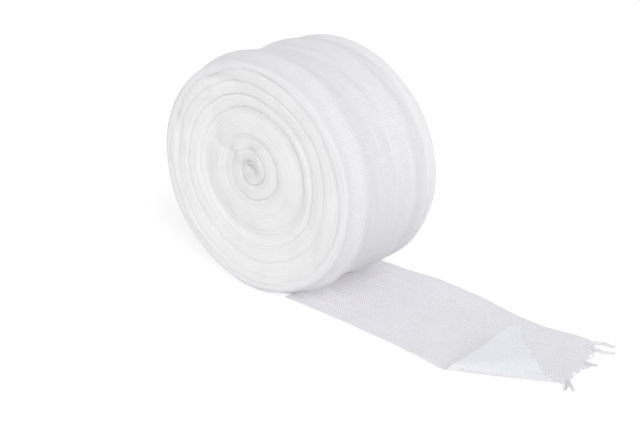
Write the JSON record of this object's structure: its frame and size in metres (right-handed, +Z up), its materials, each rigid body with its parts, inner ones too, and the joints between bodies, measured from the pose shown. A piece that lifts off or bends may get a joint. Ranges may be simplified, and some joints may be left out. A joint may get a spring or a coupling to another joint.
{
  "type": "gauze bandage roll",
  "caption": "Wound roll of open-weave cotton gauze on its side: banded barrel, spiral ends with a sunk ring, and a loose end with a turned-over corner and a frayed cut.",
  "frame": {"origin": "on the surface that the roll rests on, at the middle of its small flat spot", "axes": "+Z up, +X along the loose end away from the roll, +Y along the roll's axis away from its dished end"},
  "size_m": [0.1817, 0.0563, 0.0884],
  "materials": {
    "wound_gauze": "matte bleached cotton gauze, many turns deep, fine crepe texture",
    "loose_gauze": "matte bleached cotton, open plain weave with dense selvedges",
    "frayed_thread": "loose fuzzy cotton threads"
  },
  "bodies": {
    "root": {"wound_roll": "wound_gauze", "loose_end": "loose_gauze", "frayed_end": "frayed_thread"}
  },
  "joints": []
}
